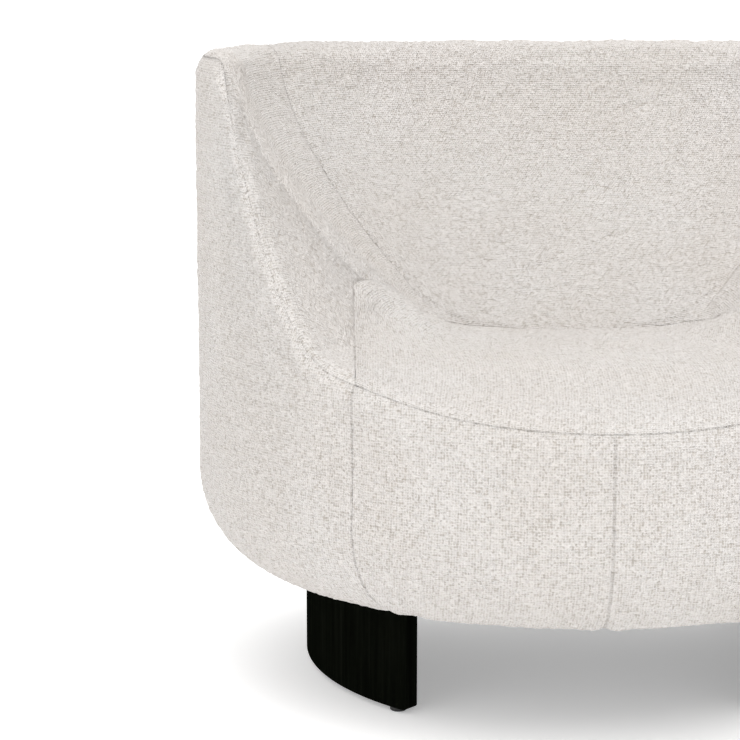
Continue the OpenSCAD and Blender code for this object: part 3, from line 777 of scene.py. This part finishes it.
finishes = {
    "boucle": boucle(),
    "leg_wood": black_wood(),
    "frame_wood": plywood(),
    "foam": speckled("cut_foam", (0.35, (0.60, 0.52, 0.33)), (0.6, (0.80, 0.73, 0.53)), 900, 0.9),
    "felt": speckled("pressed_felt", (0.3, (0.10, 0.10, 0.10)), (0.7, (0.24, 0.24, 0.23)), 500, 0.95),
    "fibreboard": speckled("fibreboard", (0.3, (0.22, 0.15, 0.09)), (0.7, (0.38, 0.28, 0.18)),
                           350, 0.8),
    "webbing": woven("elastic_webbing", (0.012, 0.011, 0.010), (0.06, 0.055, 0.05), 0.003),
    "dust_cloth": woven("dust_cloth", (0.010, 0.010, 0.010), (0.035, 0.035, 0.034), 0.0016),
    "steel": steel(),
    "glide_plastic": speckled("glide_plastic", (0.3, (0.010, 0.010, 0.010)),
                              (0.7, (0.022, 0.022, 0.022)), 600, 0.5, 0.0002, 0.3),
}
slots = {s["node"]: s["material_slot"] for s in frame["record"]["subparts"]}
for name, o in nodes.items():
    o.data.materials.clear()
    o.data.materials.append(finishes[slots[name]])

# ---- the upholstery ----------------------------------------------------------------------------
# Each piece's name, its panel, whether it is mirrored, the nodes it stands for, and how full it is
upholstery = [
    ("seat_cushion", "seat", False, ("seat_cover", "seat_foam"), 0.8),
    ("inside_back_cushion", "inside_back", False, ("inside_back_cover", "inside_back_foam"), 0.8),
    ("right_arm_cushion", "arm", False, ("right_arm_cover", "right_arm_foam"), 0.8),
    ("left_arm_cushion", "arm", True, ("left_arm_cover", "left_arm_foam"), 0.8),
    ("front_right_panel", "front", False, ("front_right_cover",), 0.9),
    ("front_left_panel", "front", True, ("front_left_cover", "front_padding"), 0.9),
    ("right_side_panel", "side", False, ("right_side_cover", "right_side_padding"), 0.9),
    ("left_side_panel", "side", True, ("left_side_cover", "left_side_padding"), 0.9),
    ("outer_back_panel", "outer_back", False, ("outer_back_cover", "outer_back_padding"), 0.9),
]
for name, kind, mirrored, stands_for, fill in upholstery:
    o = panel_mesh(name, panels[kind], mirrored)
    o.data.materials.append(finishes["boucle"])
    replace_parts(o, *stands_for)

# ---- legs --------------------------------------------------------------------------------------
LEG_R, LEG_T, LEG_SHIFT, LEG_BACK = 350.0, 28.0, 18.0, 63.0
LEG_FRONT, LEG_REAR, LEG_CORNER, LEG_LOW = 48.5, 33.0, 6.0, 6.0
LEG_EDGE = 2.2           # radius of the rounded lower edges
LEG_GAP = 0.3            # the boards end this far under the body


def arc(x, y, r, angles):
    return [(x + r * math.cos(math.radians(a)), y + r * math.sin(math.radians(a))) for a in angles]


def leg_outline():
    """Anticlockwise outline of the left leg about its arc's centre, with rounded corners."""
    inner, turn = LEG_R - LEG_T, math.degrees(math.asin(LEG_CORNER / (LEG_R - LEG_T / 2)))
    a1, a2 = 180 - LEG_REAR + turn, 180 + LEG_FRONT - turn

    def corner(r, a, start):
        x, y = arc(0, 0, r, [a])[0]
        return arc(x, y, LEG_CORNER, [a + start + k for k in np.linspace(0, 90, 9)[1:]])

    return (arc(0, 0, LEG_R, np.linspace(a1, a2, 90))
            + corner(LEG_R - LEG_CORNER, a2, 0) + corner(inner + LEG_CORNER, a2, 90)
            + arc(0, 0, inner, np.linspace(a2, a1, 84)[1:])
            + corner(inner + LEG_CORNER, a1, 180) + corner(LEG_R - LEG_CORNER, a1, 270)[:-1])


def build_leg(name, mirrored):
    """A leg board with rounded upright corners and lower edges; the left one, or its mirror."""
    outline = np.array(leg_outline())
    n = len(outline)
    edge = np.roll(outline, -1, 0) - np.roll(outline, 1, 0)
    out = np.stack([edge[:, 1], -edge[:, 0]], 1)
    out /= np.linalg.norm(out, axis=1, keepdims=True)
    levels = [(LEG_LOW + LEG_EDGE * (1 - math.cos(a)), LEG_EDGE * (1 - math.sin(a)))
              for a in np.linspace(0, math.pi / 2, 5)]
    levels += [(z, 0.0) for z in np.linspace(LEG_LOW + 12, UNDER - 8, 9)]
    levels += [(UNDER - LEG_GAP, 0.0)]
    rows = [np.concatenate([outline - out * cut, np.full((n, 1), z)], 1) for z, cut in levels]
    verts = np.concatenate(rows) + [LEG_SHIFT, LEG_BACK, 0]
    faces = [(k * n + i, k * n + (i + 1) % n, (k + 1) * n + (i + 1) % n, (k + 1) * n + i)
             for k in range(len(levels) - 1) for i in range(n)]
    faces.append(tuple(range(n - 1, -1, -1)))
    faces.append(tuple(range((len(levels) - 1) * n, len(levels) * n)))
    if mirrored:
        verts, faces = verts * MIRROR, flipped(faces)
    o = to_mesh(name, mm(verts), faces)
    o.data.polygons.foreach_set("use_smooth", [len(f.vertices) == 4 for f in o.data.polygons])
    o.data.materials.append(finishes["leg_wood"])
    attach(o, "root")
    return o


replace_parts(build_leg("left_leg_board", False), "left_leg")
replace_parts(build_leg("right_leg_board", True), "right_leg")


# ---- studio, lights and camera -----------------------------------------------------------------
def studio():
    """A pale floor that bends up into a wall behind the sofa, in metres."""
    reach, wall_y, rise, bend = 60.0, 4.5, 7.0, 1.8
    profile = [(-reach, 0.0), (wall_y - bend, 0.0)]
    profile += [(wall_y - bend + bend * math.sin(a), bend * (1 - math.cos(a)))
                for a in np.linspace(0, math.pi / 2, 14)[1:]]
    profile += [(wall_y, rise)]
    verts = [(x, y, z) for y, z in profile for x in (-reach, reach)]
    faces = [(2 * k, 2 * k + 1, 2 * k + 3, 2 * k + 2) for k in range(len(profile) - 1)]
    o = to_mesh("studio_floor", verts, faces)
    o.data.polygons.foreach_set("use_smooth", [True] * len(o.data.polygons))
    m = Mat("studio_white", 0.9, Specular_IOR_Level=0.1, Emission_Color=(1, 1, 1, 1),
            Emission_Strength=0.3)
    white = m.ramp(m.noise(m.coords(), 3.0), [(0.3, (0.90, 0.90, 0.90)), (0.7, (0.92, 0.92, 0.92))])
    o.data.materials.append(m.finish(white))


def area_light(name, place, target, size, power):
    """A square light, with places and size in metres and power in watts."""
    light = bpy.data.lights.new(name, "AREA")
    light.shape, light.size, light.size_y = "RECTANGLE", size, size
    light.energy = power
    o = bpy.data.objects.new(name, light)
    o.location = place
    o.rotation_euler = (Vector(target) - Vector(place)).to_track_quat("-Z", "Y").to_euler()
    bpy.context.scene.collection.objects.link(o)


studio()
area_light("key", (0.6, -2.2, 3.4), (0, 0, 0.4), 2.4, 60)
area_light("fill", (-2.8, -2.2, 1.4), (0, 0, 0.4), 2.5, 16)
area_light("top", (0, 0.2, 3.6), (0, 0, 0.3), 3.5, 37)
world = bpy.data.worlds.new("studio")
world.use_nodes = True
background = world.node_tree.nodes["Background"]
background.inputs["Color"].default_value = (1, 1, 1, 1)
background.inputs["Strength"].default_value = 0.80
bpy.context.scene.world = world
bpy.context.scene.view_settings.view_transform = "Standard"

# The photo's viewpoint
camera = bpy.data.cameras.new("camera")
camera.sensor_width, camera.lens = 36.0, 106.28
eye = bpy.data.objects.new("camera", camera)
eye.location = (-0.28176, -2.63523, 0.85297)
eye.rotation_euler = (math.radians(90 - 10.17), 0, math.radians(-0.66))
bpy.context.scene.collection.objects.link(eye)
bpy.context.scene.camera = eye
